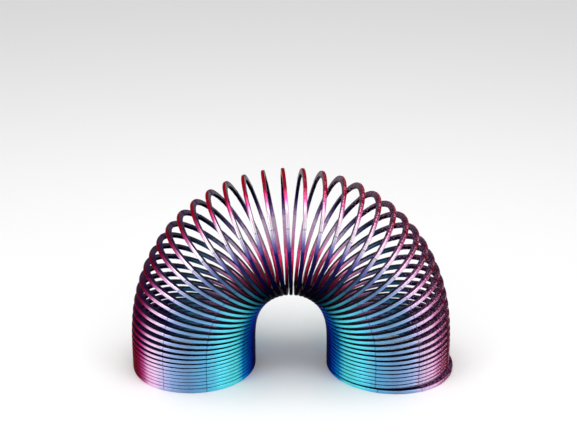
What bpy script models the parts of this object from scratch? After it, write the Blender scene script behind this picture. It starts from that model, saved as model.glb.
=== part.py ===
"""Spring coil toy: one flat moulded strip wound into a coil and stood up as an arch on its two feet.

The coil is modelled turn by turn.  Each turn is cut at the inside of the arch, where neighbouring
turns swivel against each other, and its origin lies on that swivel axis (parallel to Y).
X runs from the left foot to the right foot, Z is up, and both feet stand on Z = 0.
"""

import math

import bmesh
import bpy
from mathutils import Vector

# ---------------------------------------------------------------- driving dimensions (metres, turns)
COIL_DIAMETER = 0.066          # outside diameter of every turn
STRIP_WIDTH = 0.0032           # strip, measured towards the coil's centre
STRIP_THICKNESS = 0.00175      # strip, measured along the coil
STACK_GAP = 0.00020            # free play between two closed turns
SWIVEL_GAP = 0.00030           # slit between the end faces of two neighbouring turns

TURNS = 52                     # turns in the whole coil
CROWN_POSITION = 26.35         # turns from the left foot's base to the top of the arch
FAN_REACH = 22.3               # turns each side of the crown that fan open; beyond them all lie shut
ARCH_ANGLE = math.pi           # both feet point straight down
FAN_SHARPNESS = 1.63           # how strongly the fan gathers at the crown (1 = plain cosine)
CROWN_OPENING = 0.00010        # extra play on the inside of the arch, at the crown
RIGHT_PLAY_RAMP = 0.70         # share of the reach over which the right leg's extra play builds up

BASE_TIP_THICKNESS = 0.00080   # thin end of the wedge-shaped first turn
LOOSE_END_SPREAD = 0.0024      # the last turn stands out this far from its stack
LOOSE_END_BEARING = -35        # degrees from +X: where it stands out furthest
LOOSE_END_SKEW = 1.3           # moves the widest place towards the loose tip
LOOSE_END_DROP = 0.00015       # extra gap above the last turn
LOOSE_END_RAMP = 0.80          # part of the last turn that slopes down to the floor

SEGMENTS = 30                  # facets round one turn
SMOOTH_ANGLE = math.radians(40)

OUTER_RADIUS = COIL_DIAMETER / 2
INNER_RADIUS = OUTER_RADIUS - STRIP_WIDTH
MIDDLE_RADIUS = OUTER_RADIUS - STRIP_WIDTH / 2
CLOSED_PITCH = STRIP_THICKNESS + STACK_GAP

PLATING = {
    "left": (0.34, 0.05, 0.16),
    "crown": (0.42, 0.08, 0.30),
    "right": (0.05, 0.22, 0.55),
}


# ---------------------------------------------------------------- the line that the coil follows
def smooth_step(value):
    value = min(max(value, 0.0), 1.0)
    return value * value * (3 - 2 * value)


def reach_from_crown(step):
    """Place of the step from turn `step` to the next: 0 at the crown, -1 and 1 where the fan ends."""
    return (step + 0.5 - CROWN_POSITION) / FAN_REACH


def crown_share(step):
    """1 at the crown, 0 in the closed feet."""
    return math.cos(math.pi / 2 * min(abs(reach_from_crown(step)), 1.0))


def fan_weight(step):
    """Share of the arch's bend between turn `step` and the next one."""
    return crown_share(step) ** FAN_SHARPNESS


def right_share(step):
    """Opens the right leg a little more than the left one."""
    return smooth_step(reach_from_crown(step) / RIGHT_PLAY_RAMP)


def fan_angles():
    weights = [fan_weight(step) for step in range(TURNS - 1)]
    total = sum(weights)
    return [ARCH_ANGLE * weight / total for weight in weights]


def step_directions(fans):
    """Direction of travel, as an angle above +X, over each step from one turn to the next."""
    directions = []
    heading = math.pi / 2
    for fan in fans:
        directions.append(heading - fan / 2)
        heading -= fan
    return directions


def centre_pitches(fans):
    """Distances between turn centres.  The right leg is opened until both feet are level."""
    directions = step_directions(fans)
    pitches = [CLOSED_PITCH + CROWN_OPENING * crown_share(step) + 2 * OUTER_RADIUS * math.sin(fan / 2)
               for step, fan in enumerate(fans)]
    rise = sum(pitch * math.sin(a) for pitch, a in zip(pitches, directions))
    start = first_centre_height()
    finish = last_centre_height()
    lift = sum(right_share(step) * math.sin(a) for step, a in enumerate(directions))
    lean = (finish - start - rise) / lift
    return [pitch + lean * right_share(step) for step, pitch in enumerate(pitches)]


def first_centre_height():
    """Centre of the first turn: its top rises one pitch from the thin end of the wedge."""
    return BASE_TIP_THICKNESS + CLOSED_PITCH / 2 - STRIP_THICKNESS / 2


def last_centre_height():
    """Centre of the last turn, halfway between its own start and a turn lying on the floor."""
    return CLOSED_PITCH + LOOSE_END_DROP + STRIP_THICKNESS / 2 - CLOSED_PITCH / 2


def centre_line():
    """Heading and centre of every turn, symmetric about X = 0."""
    fans = fan_angles()
    pitches = centre_pitches(fans)
    headings = [math.pi / 2]
    centres = [Vector((0.0, 0.0, first_centre_height()))]
    for fan, pitch, direction in zip(fans, pitches, step_directions(fans)):
        headings.append(headings[-1] - fan)
        step = Vector((math.cos(direction), 0.0, math.sin(direction))) * pitch
        centres.append(centres[-1] + step)
    middle = (centres[0].x + centres[-1].x) / 2
    for centre in centres:
        centre.x -= middle
    return headings, centres


HEADINGS, CENTRES = centre_line()


def along(position):
    """Centre and heading at a position counted in turns, with straight stubs past both ends."""
    lower = min(max(math.floor(position), 0), TURNS - 2)
    share = position - lower
    heading_a = HEADINGS[lower]
    heading_b = HEADINGS[lower + 1]
    if share < 0.0 or share > 1.0:
        end = 0 if share < 0.0 else TURNS - 1
        away = (position - end) * CLOSED_PITCH
        heading = HEADINGS[end]
        axis = Vector((math.cos(heading), 0.0, math.sin(heading)))
        return CENTRES[end] + axis * away, heading
    heading = heading_a + (heading_b - heading_a) * share
    chord = CENTRES[lower + 1] - CENTRES[lower]
    # the chord and a bow towards the outside of the bend keep the line smooth from turn to turn
    bend = (heading_a - heading_b) / 2
    bow = chord.length * math.tan(bend / 2) * 2 * share * (1 - share)
    side = Vector((-chord.z, 0.0, chord.x)).normalized()
    return CENTRES[lower] + chord * share + side * bow, heading


# ---------------------------------------------------------------- one turn
def loose_end_place(travel):
    """Sideways shift and underside height of the last turn, after `travel` (0 to 1) of it."""
    out = LOOSE_END_SPREAD * math.sin(math.pi * travel ** LOOSE_END_SKEW) ** 2
    bearing = math.radians(LOOSE_END_BEARING)
    shift = Vector((math.cos(bearing), math.sin(bearing), 0.0)) * out
    start = CLOSED_PITCH + LOOSE_END_DROP
    underside = start * (1 - smooth_step(travel / LOOSE_END_RAMP))
    return shift, underside


def strip_section(turn, travel):
    """Corners of the strip's section: under and over, outside and inside.

    `travel` runs from 0 to 1 round the turn: inside of the arch, back, outside, front and inside.
    """
    phase = math.pi - 2 * math.pi * travel
    centre, heading = along(turn + travel - 0.5)
    out = Vector((-math.sin(heading), 0.0, math.cos(heading)))
    axis = Vector((math.cos(heading), 0.0, math.sin(heading)))
    radial = out * math.cos(phase) + Vector((0.0, 1.0, 0.0)) * math.sin(phase)
    half = axis * (STRIP_THICKNESS / 2)
    corners = [centre + radial * OUTER_RADIUS - half, centre + radial * INNER_RADIUS - half,
               centre + radial * INNER_RADIUS + half, centre + radial * OUTER_RADIUS + half]
    if turn == 0:
        for corner in corners[:2]:
            corner.z = 0.0
    if turn == TURNS - 1:
        shift, underside = loose_end_place(travel)
        for index, corner in enumerate(corners):
            corner += shift
            corner.z = underside + (STRIP_THICKNESS if index < 2 else 0.0)
    return corners


def swivel_point(turn):
    """Middle of the strip at the inside of the arch, where `turn` begins."""
    centre, heading = along(turn - 0.5)
    inward = Vector((math.sin(heading), 0.0, -math.cos(heading)))
    return centre + inward * MIDDLE_RADIUS


def turn_mesh(name, turn, origin):
    """Loft of the strip's section round one turn, closed by its two end faces."""
    trim = SWIVEL_GAP / 2 / (2 * math.pi * MIDDLE_RADIUS)
    form = bmesh.new()
    rows = []
    for step in range(SEGMENTS + 1):
        travel = trim + (1 - 2 * trim) * step / SEGMENTS
        rows.append([form.verts.new(corner - origin) for corner in strip_section(turn, travel)])
    for row, following in zip(rows, rows[1:]):
        for side in range(4):
            after = (side + 1) % 4
            form.faces.new((row[side], row[after], following[after], following[side]))
    form.faces.new(rows[0])
    form.faces.new(rows[-1])
    bmesh.ops.triangulate(form, faces=form.faces, quad_method="FIXED")
    bmesh.ops.recalc_face_normals(form, faces=form.faces)
    mesh = bpy.data.meshes.new(name)
    form.to_mesh(mesh)
    form.free()
    mesh.shade_smooth()
    mesh.set_sharp_from_angle(angle=SMOOTH_ANGLE)
    return mesh


# ---------------------------------------------------------------- scene
def plated_plastic(name, colour):
    material = bpy.data.materials.new(name)
    material.use_nodes = True
    shader = material.node_tree.nodes["Principled BSDF"]
    shader.inputs["Base Color"].default_value = (*colour, 1.0)
    shader.inputs["Metallic"].default_value = 0.9
    shader.inputs["Roughness"].default_value = 0.22
    return material


def blended_colour(turn):
    share = turn / (TURNS - 1)
    if share < 0.5:
        near, far, mix = PLATING["left"], PLATING["crown"], share * 2
    else:
        near, far, mix = PLATING["crown"], PLATING["right"], share * 2 - 1
    return tuple(a + (b - a) * mix for a, b in zip(near, far))


def clear_scene():
    for old in list(bpy.data.objects):
        bpy.data.objects.remove(old, do_unlink=True)


def build_coil():
    collection = bpy.data.collections.new("spring_coil_toy")
    bpy.context.scene.collection.children.link(collection)
    parent = None
    parent_origin = Vector((0.0, 0.0, 0.0))
    for turn in range(TURNS):
        name = f"turn_{turn + 1:02d}"
        origin = swivel_point(turn)
        item = bpy.data.objects.new(name, turn_mesh(name, turn, origin))
        item.data.materials.append(plated_plastic(f"plating_{turn + 1:02d}", blended_colour(turn)))
        collection.objects.link(item)
        item.parent = parent
        item.location = origin - parent_origin
        parent = item
        parent_origin = origin


clear_scene()
build_coil()
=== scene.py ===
"""Looks of the spring coil toy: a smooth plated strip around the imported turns, studio and camera."""

import math

import bmesh
import bpy
import numpy as np
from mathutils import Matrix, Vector


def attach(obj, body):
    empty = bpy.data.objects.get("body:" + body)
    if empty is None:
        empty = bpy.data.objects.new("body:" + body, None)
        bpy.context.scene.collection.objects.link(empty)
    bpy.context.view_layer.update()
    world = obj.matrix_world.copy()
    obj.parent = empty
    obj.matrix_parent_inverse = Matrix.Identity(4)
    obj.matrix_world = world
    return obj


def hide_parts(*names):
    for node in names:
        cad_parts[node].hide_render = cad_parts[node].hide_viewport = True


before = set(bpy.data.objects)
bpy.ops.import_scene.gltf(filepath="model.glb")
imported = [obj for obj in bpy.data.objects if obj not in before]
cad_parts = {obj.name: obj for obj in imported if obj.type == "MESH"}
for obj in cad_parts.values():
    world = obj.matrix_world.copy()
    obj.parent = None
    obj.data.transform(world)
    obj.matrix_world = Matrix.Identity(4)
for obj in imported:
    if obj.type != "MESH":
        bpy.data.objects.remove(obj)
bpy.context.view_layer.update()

# ---------------------------------------------------------------- sizes (metres, radians)
TURN_NAMES = sorted(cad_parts)
CORNER_RADIUS = 0.00028        # rounding of the strip's long edges
CORNER_STEPS = 3               # facets round one rounded edge
FACE_CROWN = 0.00016           # the outer face bulges this much
SEAMS_PER_TURN = 9             # mould seams round one turn
SEAM_PHASE = math.radians(25)  # first seam, counted from the outside of the arch towards the front
SEAM_STEP = 0.00011            # jump of the strip at a seam, along the coil
SEAM_LENGTH = 0.00030          # length of strip over which it jumps
SEAM_FLASH = 0.00007           # how far a seam stands proud
ROWS_PER_SEGMENT = 13          # steps between two seams
END_PLAY = 0.00003             # what is left open between two turns' end faces
LARGEST_SLIT = 0.0003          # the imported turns' end faces are this far apart, or less
MIDDLE_ROW = 15                # packed section halfway round a turn
SHARP_ANGLE = math.radians(50)

# ---------------------------------------------------------------- plating and painted light
FLECKS_PER_METRE = 2300        # glitter on the right leg: painted glints and dark flecks
LINES_PER_METRE = (160, 4200, 4200)        # drawn lines: along the strip, across it and through it
FACE_EDGE = (0.10, 0.45)       # share of "facing" over which a flat turns into a face
CROWN_EDGE = (0.38, 0.92)      # share of "crown" over which the leg's colours, with their painted light and shade, turn into the crown's
RIGHT_EDGE = (0.50, 0.60)      # share of "hand" over which the left colours turn into the right ones
GLITTER_EDGE = (0.40, 0.34)    # share of "ring" over which the glitter, with its painted glints, starts
GLITTER_ON_FLATS = 0.35
DEEP_PURPLE = (60, 6, 60)
# pale pink of the painted glints
GLINT_PINK = (255, 206, 238)
SEAM_NAVY = (16, 10, 44)
LINE_BLACK = (0.01, 0.01, 0.03, 1.0)

# screen colours by degrees round the turn, from the outside of the arch to its inside: the plating's rainbow
# colour with painted light in it,
# a painted highlight (the pale pink-white band) and painted shade (navy to black towards the inside of the
# arch and on the flats); the crown gets other painted light than the legs, as its faces turn otherwise to
# the lamps
OUTER_LEG = [(0, (120, 6, 30)), (24, (136, 16, 46)), (34, (158, 46, 96)), (41, (198, 96, 156)),
             (48, (255, 200, 244)), (56, (253, 218, 254)), (64, (204, 198, 241)), (73, (150, 178, 224)),
             (88, (118, 158, 200)), (104, (104, 182, 224)), (118, (104, 232, 252)), (137, (112, 250, 255)),
             (146, (24, 176, 248)), (154, (8, 110, 216)), (164, (2, 44, 140)), (176, (2, 6, 36))]
OUTER_CROWN = [(0, (186, 20, 44)), (27, (182, 26, 62)), (38, (214, 74, 142)), (48, (252, 212, 240)),
               (62, (253, 242, 254)), (70, (214, 204, 246)), (78, (120, 112, 196)), (86, (28, 28, 98)),
               (98, (12, 12, 62)), (132, (6, 8, 46)), (152, (6, 6, 36)), (176, (4, 4, 20))]
INNER_LEG = [(0, (30, 8, 60)), (44, (20, 12, 76)), (58, (24, 44, 116)), (72, (60, 120, 164)),
             (84, (74, 154, 190)), (95, (120, 120, 172)), (108, (194, 142, 194)), (122, (204, 118, 168)),
             (138, (140, 32, 74)), (158, (50, 10, 40)), (176, (8, 4, 20))]
INNER_CROWN = [(0, (16, 4, 54)), (58, (18, 8, 68)), (74, (70, 52, 146)), (88, (160, 130, 206)),
               (100, (240, 212, 244)), (116, (238, 172, 216)), (130, (186, 70, 118)), (146, (146, 22, 58)),
               (164, (112, 12, 44)), (176, (44, 4, 24))]
FLAT_LEFT = [(0, (60, 12, 66)), (34, (44, 10, 66)), (60, (22, 6, 52)), (90, (8, 4, 34)), (176, (2, 2, 12))]
FLAT_RIGHT = [(0, (60, 6, 50)), (34, (66, 10, 62)), (60, (74, 22, 74)), (72, (14, 6, 34)), (176, (2, 2, 12))]

# ---------------------------------------------------------------- studio and camera
STUDIO_WHITE = (0.97, 0.97, 0.97, 1.0)
FLOOR_SIZE = 6.0
WORLD_LIGHT = 0.62
LIT_POINT = (0, 0, 0.05)       # what the soft lights point at
# name, place, width, height and power of each soft light
SOFT_LIGHTS = [("top_softbox", (0.0, -0.10, 0.75), 0.8, 0.5, 3.0),
               ("left_softbox", (-0.55, -0.45, 0.35), 0.3, 0.5, 0.8),
               ("right_softbox", (0.55, -0.45, 0.35), 0.3, 0.5, 0.8)]
CAMERA_ELEVATION = math.radians(22.4)
CAMERA_DISTANCE = 0.653
CAMERA_TARGET = Vector((-0.00134, 0.0, 0.0853))
CAMERA_LENS = 79.1             # millimetres
CAMERA_SENSOR = 36.0           # millimetres


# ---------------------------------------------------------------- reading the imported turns
def unique_corners(node):
    """The node's vertices, each listed once."""
    places = np.array([tuple(vertex.co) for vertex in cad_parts[node].data.vertices])
    return np.unique(np.round(places, 6), axis=0)


CORNERS = {name: unique_corners(name) for name in TURN_NAMES}
MIDDLES = {name: CORNERS[name].mean(axis=0) * (1, 0, 1) for name in TURN_NAMES}


def coil_direction(index):
    """Unit vector along the coil at a turn, from the turn before it to the one after it."""
    before = MIDDLES[TURN_NAMES[max(index - 1, 0)]]
    after = MIDDLES[TURN_NAMES[min(index + 1, len(TURN_NAMES) - 1)]]
    return (after - before) / np.linalg.norm(after - before)


def strip_rows(index):
    """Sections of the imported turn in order, as [row][outer, inner][under, over] corners."""
    name = TURN_NAMES[index]
    axis = coil_direction(index)
    out = np.cross(axis, (0.0, 1.0, 0.0))
    side = (CORNERS[name] - MIDDLES[name]) @ out
    order = np.argsort(math.pi - np.arctan2(CORNERS[name][:, 1], side))
    rows = CORNERS[name][order].reshape(-1, 4, 3)
    sorted_rows = []
    for row in rows:
        offsets = row - MIDDLES[name]
        reach = np.linalg.norm(offsets - np.outer(offsets @ axis, axis), axis=1)
        by_reach = row[np.argsort(-reach)]
        pairs = [pair[np.argsort(pair @ axis)] for pair in (by_reach[:2], by_reach[2:])]
        sorted_rows.append(pairs)
    return np.array(sorted_rows)


def turn_length(index):
    """Length of one turn of strip along its middle line, laid out straight."""
    middle = strip_rows(index)[MIDDLE_ROW].mean(axis=(0, 1))
    return 2 * math.pi * np.linalg.norm(middle - MIDDLES[TURN_NAMES[index]])


STRIP_LENGTH = turn_length(len(TURN_NAMES) // 2)


def extended(rows):
    """One row more at each end, continued along the curve, for the spline."""
    first = 3 * rows[0] - 3 * rows[1] + rows[2]
    last = 3 * rows[-1] - 3 * rows[-2] + rows[-3]
    return np.concatenate(([first], rows, [last]))


def row_at(rows, position):
    """Section at a fractional row number, on a Catmull-Rom curve through the rows."""
    lower = min(max(int(math.floor(position)), 0), len(rows) - 4)
    t = position - lower
    a, b, c, d = rows[lower:lower + 4]
    linear_part = 2 * b + (c - a) * t
    square_part = (2 * a - 5 * b + 4 * c - d) * t ** 2
    cubic_part = (3 * b - a - 3 * c + d) * t ** 3
    return 0.5 * (linear_part + square_part + cubic_part)


# ---------------------------------------------------------------- the strip's section
def side_points(quarter, across, along):
    """Points between one rounded edge and the next: the middle of a face, or three along a flat."""
    if quarter == 3:
        return [(1.0, 0.0, 1.0)]
    if quarter == 1:
        return [(-1.0, 0.0, -1.0)]
    return [(across * share, along, 0.0) for share in (0.5, 0.0, -0.5)]


def section_outline(width, thickness):
    """Rounded section as (across, along, facing), with across towards the outside of the coil.

    Across and along run from -1 to 1 over the section.  Facing is 1 on the outer face, -1 on the
    inner face and 0 on the flats, where the turns meet.
    """
    points = []
    half_width, half_thickness = width / 2, thickness / 2
    for quarter in range(4):
        sign_across = 1 if quarter in (0, 3) else -1
        sign_along = 1 if quarter in (0, 1) else -1
        for step in range(CORNER_STEPS + 1):
            angle = quarter * math.pi / 2 + step / CORNER_STEPS * math.pi / 2
            across = sign_across * (half_width - CORNER_RADIUS) + CORNER_RADIUS * math.cos(angle)
            along = sign_along * (half_thickness - CORNER_RADIUS) + CORNER_RADIUS * math.sin(angle)
            if sign_across > 0:
                across -= FACE_CROWN * (along / half_thickness) ** 2
            points.append((across / half_width, along / half_thickness, math.cos(angle)))
        points.extend(side_points(quarter, sign_across, sign_along))
    return points


# ---------------------------------------------------------------- mould seams
FIRST_SEAM = ((math.pi + SEAM_PHASE) / (2 * math.pi)) % (1 / SEAMS_PER_TURN)


def row_travels():
    """Travel (0 to 1) of each section round a turn: close together at the seams, even between them."""
    jump = SEAM_LENGTH / STRIP_LENGTH / 2
    travels = []
    seams = [FIRST_SEAM + number / SEAMS_PER_TURN for number in range(-1, SEAMS_PER_TURN + 1)]
    for start, finish in zip(seams, seams[1:]):
        for step in range(ROWS_PER_SEGMENT + 1):
            travels.append(start + jump + (finish - start - 2 * jump) * step / ROWS_PER_SEGMENT)
    end_gap = END_PLAY / 2 / STRIP_LENGTH
    inside = [travel for travel in travels if end_gap + jump < travel < 1 - end_gap - jump]
    return [end_gap] + inside + [1 - end_gap]


def share_past_seam(travel):
    """How far the strip has gone from one seam to the next, 0 to 1."""
    return ((travel - FIRST_SEAM) * SEAMS_PER_TURN) % 1.0


def seam_offset(travel):
    """Saw-tooth shift of the strip along the coil: it creeps up and jumps back at each seam."""
    return (share_past_seam(travel) - 0.5) * SEAM_STEP


def seam_flash(travel):
    """Extra radius beside a seam."""
    share = share_past_seam(travel)
    distance = min(share, 1 - share) / SEAMS_PER_TURN * STRIP_LENGTH
    return SEAM_FLASH * math.exp(-(distance / SEAM_LENGTH) ** 2)


# ---------------------------------------------------------------- one turn of strip
def finished_turn(form, index):
    """Closes the form up into the turn's object."""
    bmesh.ops.recalc_face_normals(form, faces=form.faces)
    name = f"plated_{TURN_NAMES[index]}"
    mesh = bpy.data.meshes.new(name)
    form.to_mesh(mesh)
    form.free()
    mesh.shade_smooth()
    mesh.set_sharp_from_angle(angle=SHARP_ANGLE)
    item = bpy.data.objects.new(name, mesh)
    bpy.context.scene.collection.objects.link(item)
    return item


def plated_turn(index):
    """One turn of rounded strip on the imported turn.

    Its attributes carry the colours: ring (1 at the inside of the arch, 0 at its outside), facing,
    crown (1 at the top of the arch), hand (0 left, 1 right) and strip (place on the strip, in metres).
    """
    rows = strip_rows(index)
    spline = extended(rows)
    axis = coil_direction(index)
    width = np.linalg.norm(rows[MIDDLE_ROW][0][0] - rows[MIDDLE_ROW][1][0])
    thickness = np.linalg.norm(rows[MIDDLE_ROW][0][1] - rows[MIDDLE_ROW][0][0])
    slit = np.linalg.norm(rows[0].mean(axis=(0, 1)) - rows[-1].mean(axis=(0, 1)))
    trim = min(slit, LARGEST_SLIT) / 2 / STRIP_LENGTH
    outline = section_outline(width, thickness)
    form = bmesh.new()
    ring_layer = form.verts.layers.float.new("ring")
    facing_layer = form.verts.layers.float.new("facing")
    crown_layer = form.verts.layers.float.new("crown")
    hand_layer = form.verts.layers.float.new("hand")
    strip_layer = form.verts.layers.float_vector.new("strip")
    crown = abs(axis[0])
    hand = index / (len(TURN_NAMES) - 1)
    loops = []
    for travel in row_travels():
        position = (travel - trim) / (1 - 2 * trim) * (len(rows) - 1)
        (outer_under, outer_over), (inner_under, inner_over) = row_at(spline, position)
        out = (outer_under - inner_under) / width
        lift = axis * seam_offset(travel)
        flash = seam_flash(travel)
        ring = abs(2 * travel - 1)
        loop = []
        for across, along, facing in outline:
            a, b = (across + 1) / 2, (along + 1) / 2
            place = (outer_under * a * (1 - b) + outer_over * a * b
                     + inner_under * (1 - a) * (1 - b) + inner_over * (1 - a) * b)
            vertex = form.verts.new(Vector(place + lift + out * flash * max(facing, 0.0)))
            vertex[ring_layer] = ring
            vertex[facing_layer] = facing
            vertex[crown_layer] = crown
            vertex[hand_layer] = hand
            vertex[strip_layer] = Vector((travel * STRIP_LENGTH, across * width / 2, along * thickness / 2))
            loop.append(vertex)
        loops.append(loop)
    for before, loop in zip(loops, loops[1:]):
        for corner in range(len(loop)):
            after = (corner + 1) % len(loop)
            form.faces.new((before[corner], before[after], loop[after], loop[corner]))
    form.faces.new(loops[0])
    form.faces.new(loops[-1])
    return finished_turn(form, index)


# ---------------------------------------------------------------- material
def linear(red, green, blue):
    """Scene colour of a screen colour given as 0 to 255."""
    channels = []
    for value in (red, green, blue):
        value /= 255
        channels.append(value / 12.92 if value <= 0.04045 else ((value + 0.055) / 1.055) ** 2.4)
    return (*channels, 1.0)


class Tree:
    """Small helper that adds and links shader nodes."""

    def __init__(self, material):
        material.use_nodes = True
        self.nodes = material.node_tree.nodes
        self.links = material.node_tree.links
        self.shader = self.nodes["Principled BSDF"]

    def add(self, kind, **values):
        node = self.nodes.new(kind)
        for key, value in values.items():
            setattr(node, key, value)
        return node

    def attribute(self, name, output="Fac"):
        return self.add("ShaderNodeAttribute", attribute_name=name).outputs[output]

    def ramp(self, factor, stops):
        node = self.add("ShaderNodeValToRGB")
        elements = node.color_ramp.elements
        while len(elements) < len(stops):
            elements.new(0.5)
        for element, (degrees, colour) in zip(elements, stops):
            element.position = degrees / 180
            element.color = linear(*colour)
        self.links.new(factor, node.inputs["Fac"])
        return node.outputs["Color"]

    def mix(self, factor, first, second):
        node = self.add("ShaderNodeMix", data_type="RGBA")
        self.join(factor, node.inputs["Factor"])
        self.join(first, node.inputs["A"])
        self.join(second, node.inputs["B"])
        return node.outputs["Result"]

    def join(self, source, target):
        """Sets a socket to a number or colour, or links another node's output to it."""
        if isinstance(source, (float, int, tuple)):
            target.default_value = source
        else:
            self.links.new(source, target)

    def span(self, value, low, high, to_low=0.0, to_high=1.0, smooth=True):
        node = self.add("ShaderNodeMapRange")
        node.interpolation_type = "SMOOTHSTEP" if smooth else "LINEAR"
        self.join(value, node.inputs["Value"])
        for key, number in (("From Min", low), ("From Max", high), ("To Min", to_low), ("To Max", to_high)):
            node.inputs[key].default_value = number
        return node.outputs["Result"]

    def maths(self, operation, first, second=0.0):
        node = self.add("ShaderNodeMath", operation=operation)
        self.join(first, node.inputs[0])
        self.join(second, node.inputs[1])
        return node.outputs["Value"]

    def times(self, first, second):
        return self.maths("MULTIPLY", first, second)


def plating_with_painted_light(tree, ring, facing, right):
    """The plating's colour with painted light: a painted highlight and painted shade drifting round the
    turn, different on each side of the strip, and other painted light on the crown than on the legs.
    """
    at_crown = tree.span(tree.attribute("crown"), *CROWN_EDGE)
    outer = tree.mix(at_crown, tree.ramp(ring, OUTER_LEG), tree.ramp(ring, OUTER_CROWN))
    inner = tree.mix(at_crown, tree.ramp(ring, INNER_LEG), tree.ramp(ring, INNER_CROWN))
    flat = tree.mix(right, tree.ramp(ring, FLAT_LEFT), tree.ramp(ring, FLAT_RIGHT))
    low, high = FACE_EDGE
    colour = tree.mix(tree.span(facing, low, high), flat, outer)
    return tree.mix(tree.span(facing, -low, -high), colour, inner)


def with_painted_glints(tree, colour, strip, sector):
    """The colour with pale flecks, which are painted glints, and dark flecks, one tone to a cell, and where
    the painted glints lie.
    """
    flecks = tree.add("ShaderNodeTexVoronoi", feature="F1")
    flecks.inputs["Scale"].default_value = FLECKS_PER_METRE
    tree.links.new(strip, flecks.inputs["Vector"])
    tone = tree.add("ShaderNodeSeparateColor")
    tree.links.new(flecks.outputs["Color"], tone.inputs["Color"])
    pale = tree.times(sector, tree.span(tone.outputs["Red"], 0.80, 0.90))
    dark = tree.times(sector, tree.span(tone.outputs["Green"], 0.40, 0.25))
    colour = tree.mix(tree.times(dark, 0.40), colour, linear(*DEEP_PURPLE))
    # pale flecks: painted glints
    colour = tree.mix(tree.times(pale, 0.85), colour, linear(*GLINT_PINK))
    return colour, pale


def with_seam_lines(tree, colour, strip):
    """The colour with a thin dark line at each mould seam."""
    travelled = tree.add("ShaderNodeSeparateXYZ")
    tree.links.new(strip, travelled.inputs["Vector"])
    counted = tree.times(travelled.outputs["X"], SEAMS_PER_TURN / STRIP_LENGTH)
    past_seam = tree.maths("SUBTRACT", counted, FIRST_SEAM * SEAMS_PER_TURN)
    from_seam = tree.maths("PINGPONG", past_seam, 0.5)
    half_line = SEAM_LENGTH * SEAMS_PER_TURN / STRIP_LENGTH
    seam = tree.span(from_seam, 1.3 * half_line, 0.3 * half_line)
    return tree.mix(tree.times(seam, 0.55), colour, linear(*SEAM_NAVY))


def drawn_lines(tree, strip):
    """Fine lines along the strip, left by the mould."""
    lines = tree.add("ShaderNodeTexNoise")
    lines.inputs["Scale"].default_value = 1.0
    lines.inputs["Detail"].default_value = 3.0
    stretched = tree.add("ShaderNodeMapping")
    stretched.inputs["Scale"].default_value = LINES_PER_METRE
    tree.links.new(strip, stretched.inputs["Vector"])
    tree.links.new(stretched.outputs["Vector"], lines.inputs["Vector"])
    return lines.outputs["Fac"]


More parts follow.
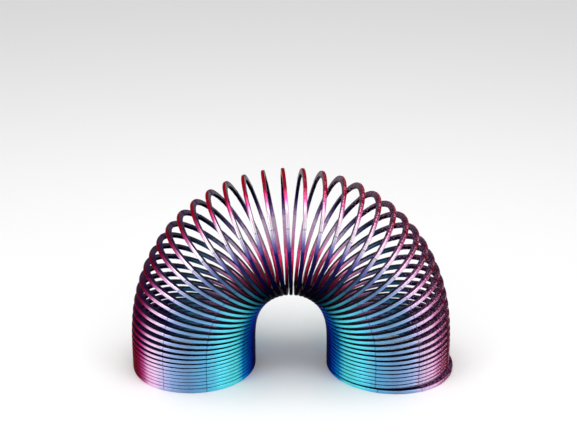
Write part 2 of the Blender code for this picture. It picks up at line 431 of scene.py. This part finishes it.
def plated_plastic():
    material = bpy.data.materials.new("plated_plastic")
    tree = Tree(material)
    socket = tree.shader.inputs
    ring, facing = tree.attribute("ring"), tree.attribute("facing")
    strip = tree.attribute("strip", "Vector")
    right = tree.span(tree.attribute("hand"), *RIGHT_EDGE)
    face = tree.span(tree.maths("ABSOLUTE", facing), *FACE_EDGE)
    # the glitter, with its painted glints, lies on the right leg, on the outside of the arch, and less on
    # the flats
    sector = tree.times(right, tree.span(ring, *GLITTER_EDGE))
    sector = tree.times(sector, tree.span(face, 0.0, 1.0, GLITTER_ON_FLATS, 1.0, smooth=False))
    lines = drawn_lines(tree, strip)

    # plating colour with the painted highlight and painted shade of the ramps
    colour = plating_with_painted_light(tree, ring, facing, right)
    colour, glint_mask = with_painted_glints(tree, colour, strip, sector)
    colour = with_seam_lines(tree, colour, strip)
    darkened = tree.times(tree.span(lines, 0.30, 0.70, smooth=False), 0.16)
    colour = tree.mix(darkened, colour, LINE_BLACK)
    tree.links.new(colour, socket["Base Color"])
    tree.links.new(colour, socket["Specular Tint"])

    # glossy plating on the faces, dull flats between the turns
    tree.links.new(tree.span(face, 0.0, 1.0, 0.0, 0.88, smooth=False), socket["Metallic"])
    socket["Specular IOR Level"].default_value = 0.03
    rough = tree.maths("ADD", tree.span(lines, 0.3, 0.7, 0.20, 0.32), tree.times(sector, 0.12))
    tree.links.new(rough, socket["Roughness"])
    bump = tree.add("ShaderNodeBump")
    bump.inputs["Strength"].default_value = 0.35
    bump.inputs["Distance"].default_value = 0.00004
    tree.links.new(tree.maths("ADD", lines, tree.times(glint_mask, 1.5)), bump.inputs["Height"])
    tree.links.new(bump.outputs["Normal"], socket["Normal"])
    return material


# ---------------------------------------------------------------- studio
def pale_floor():
    bpy.ops.mesh.primitive_plane_add(size=FLOOR_SIZE, location=(0, 0, 0))
    floor = bpy.context.object
    floor.name = "studio_floor"
    material = bpy.data.materials.new("studio_floor")
    material.use_nodes = True
    shader = material.node_tree.nodes["Principled BSDF"]
    shader.inputs["Base Color"].default_value = STUDIO_WHITE
    shader.inputs["Roughness"].default_value = 0.9
    floor.data.materials.append(material)


def soft_light(name, place, width, height, power):
    lamp = bpy.data.lights.new(name, "AREA")
    lamp.shape = "RECTANGLE"
    lamp.size, lamp.size_y = width, height
    lamp.energy = power
    item = bpy.data.objects.new(name, lamp)
    item.location = place
    item.rotation_euler = (Vector(LIT_POINT) - Vector(place)).to_track_quat("-Z", "Y").to_euler()
    bpy.context.scene.collection.objects.link(item)


def studio():
    pale_floor()
    world = bpy.data.worlds.new("studio")
    bpy.context.scene.world = world
    world.use_nodes = True
    background = world.node_tree.nodes["Background"]
    background.inputs["Color"].default_value = (1.0, 1.0, 1.0, 1.0)
    background.inputs["Strength"].default_value = WORLD_LIGHT
    for light in SOFT_LIGHTS:
        soft_light(*light)
    bpy.context.scene.view_settings.view_transform = "Standard"


def camera():
    lens = bpy.data.cameras.new("camera")
    lens.lens, lens.sensor_width = CAMERA_LENS, CAMERA_SENSOR
    item = bpy.data.objects.new("camera", lens)
    backwards = Vector((0.0, -math.cos(CAMERA_ELEVATION), math.sin(CAMERA_ELEVATION)))
    item.location = CAMERA_TARGET + backwards * CAMERA_DISTANCE
    item.rotation_euler = (math.pi / 2 - CAMERA_ELEVATION, 0.0, 0.0)
    bpy.context.scene.collection.objects.link(item)
    bpy.context.scene.camera = item


plating = plated_plastic()
for number, node in enumerate(TURN_NAMES):
    strip = plated_turn(number)
    strip.data.materials.append(plating)
    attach(strip, node)
    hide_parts(node)
studio()
camera()
